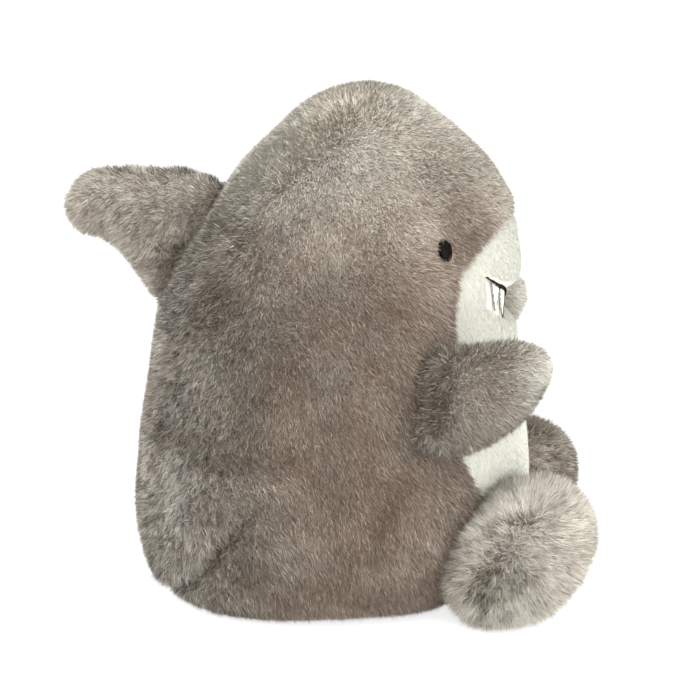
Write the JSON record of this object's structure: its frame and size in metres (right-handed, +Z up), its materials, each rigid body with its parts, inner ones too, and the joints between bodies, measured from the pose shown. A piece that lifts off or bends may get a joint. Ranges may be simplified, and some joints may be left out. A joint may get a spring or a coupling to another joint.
{
  "type": "plush shark",
  "caption": "Small seated plush shark with a soft egg-shaped body, a pale belly panel, a dorsal fin, two flippers and two round feet.",
  "frame": {"origin": "on the floor under the middle of the toy", "axes": "+Z up, the face looks along -Y, the dorsal fin points along +Y, the shark's right side is at -X"},
  "size_m": [0.101, 0.1244, 0.1264],
  "materials": {
    "grey_plush": "long-pile plush, taupe grey, matt",
    "cream_plush": "short-pile plush, off-white, matt",
    "stuffing": "polyester fibre fill",
    "pouch_cloth": "plain woven lining",
    "pellets": "loose plastic pellets",
    "black_plastic": "satin black plastic",
    "nylon": "natural moulded plastic",
    "black_thread": "black embroidery thread",
    "white_thread": "white embroidery thread"
  },
  "bodies": {
    "torso": {"side_panel_right": "grey_plush", "side_panel_left": "grey_plush", "seat_panel": "grey_plush", "face_belly_panel": "cream_plush", "body_stuffing": "stuffing", "pellet_pouch": "pouch_cloth", "pellet_fill": "pellets", "eye_right": "black_plastic", "eye_left": "black_plastic", "eye_washer_right": "nylon", "eye_washer_left": "nylon", "mouth_embroidery": "black_thread", "tooth_1": "white_thread", "tooth_2": "white_thread", "tooth_3": "white_thread", "tooth_4": "white_thread", "tooth_5": "white_thread", "tooth_6": "white_thread", "tooth_7": "white_thread", "tooth_8": "white_thread", "tooth_9": "white_thread", "tooth_10": "white_thread", "tooth_11": "white_thread", "tooth_12": "white_thread"},
    "dorsal_fin": {"fin_panel_right": "grey_plush", "fin_panel_left": "grey_plush", "fin_stuffing": "stuffing"},
    "right_flipper": {"flipper_outer_right": "grey_plush", "flipper_inner_right": "grey_plush", "flipper_stuffing_right": "stuffing"},
    "right_foot": {"foot_upper_right": "grey_plush", "foot_sole_right": "grey_plush", "foot_stuffing_right": "stuffing"},
    "left_flipper": {"flipper_outer_left": "grey_plush", "flipper_inner_left": "grey_plush", "flipper_stuffing_left": "stuffing"},
    "left_foot": {"foot_upper_left": "grey_plush", "foot_sole_left": "grey_plush", "foot_stuffing_left": "stuffing"}
  },
  "joints": [
    {"name": "fin_sway", "type": "hinge", "parent": "torso", "child": "dorsal_fin", "pos_m": [0, 0.0347, 0.0864], "axis": [0, 0.4321, -0.9018], "range_deg": [-30, 30], "stiffness_Nm_per_rad": 0.03},
    {"name": "right_flipper_swing", "type": "hinge", "parent": "torso", "child": "right_flipper", "pos_m": [-0.0404, -0.0218, 0.056], "axis": [-0.1219, 0, -0.9925], "range_deg": [-8, 50], "stiffness_Nm_per_rad": 0.03},
    {"name": "left_flipper_swing", "type": "hinge", "parent": "torso", "child": "left_flipper", "pos_m": [0.0404, -0.0218, 0.056], "axis": [-0.1219, 0, 0.9925], "range_deg": [-8, 50], "stiffness_Nm_per_rad": 0.03},
    {"name": "right_foot_lift", "type": "hinge", "parent": "torso", "child": "right_foot", "pos_m": [-0.029, -0.037, 0.03], "axis": [-1, 0, 0], "range_deg": [0, 25], "stiffness_Nm_per_rad": 0.03},
    {"name": "left_foot_lift", "type": "hinge", "parent": "torso", "child": "left_foot", "pos_m": [0.029, -0.037, 0.03], "axis": [-1, 0, 0], "range_deg": [0, 25], "stiffness_Nm_per_rad": 0.03}
  ]
}
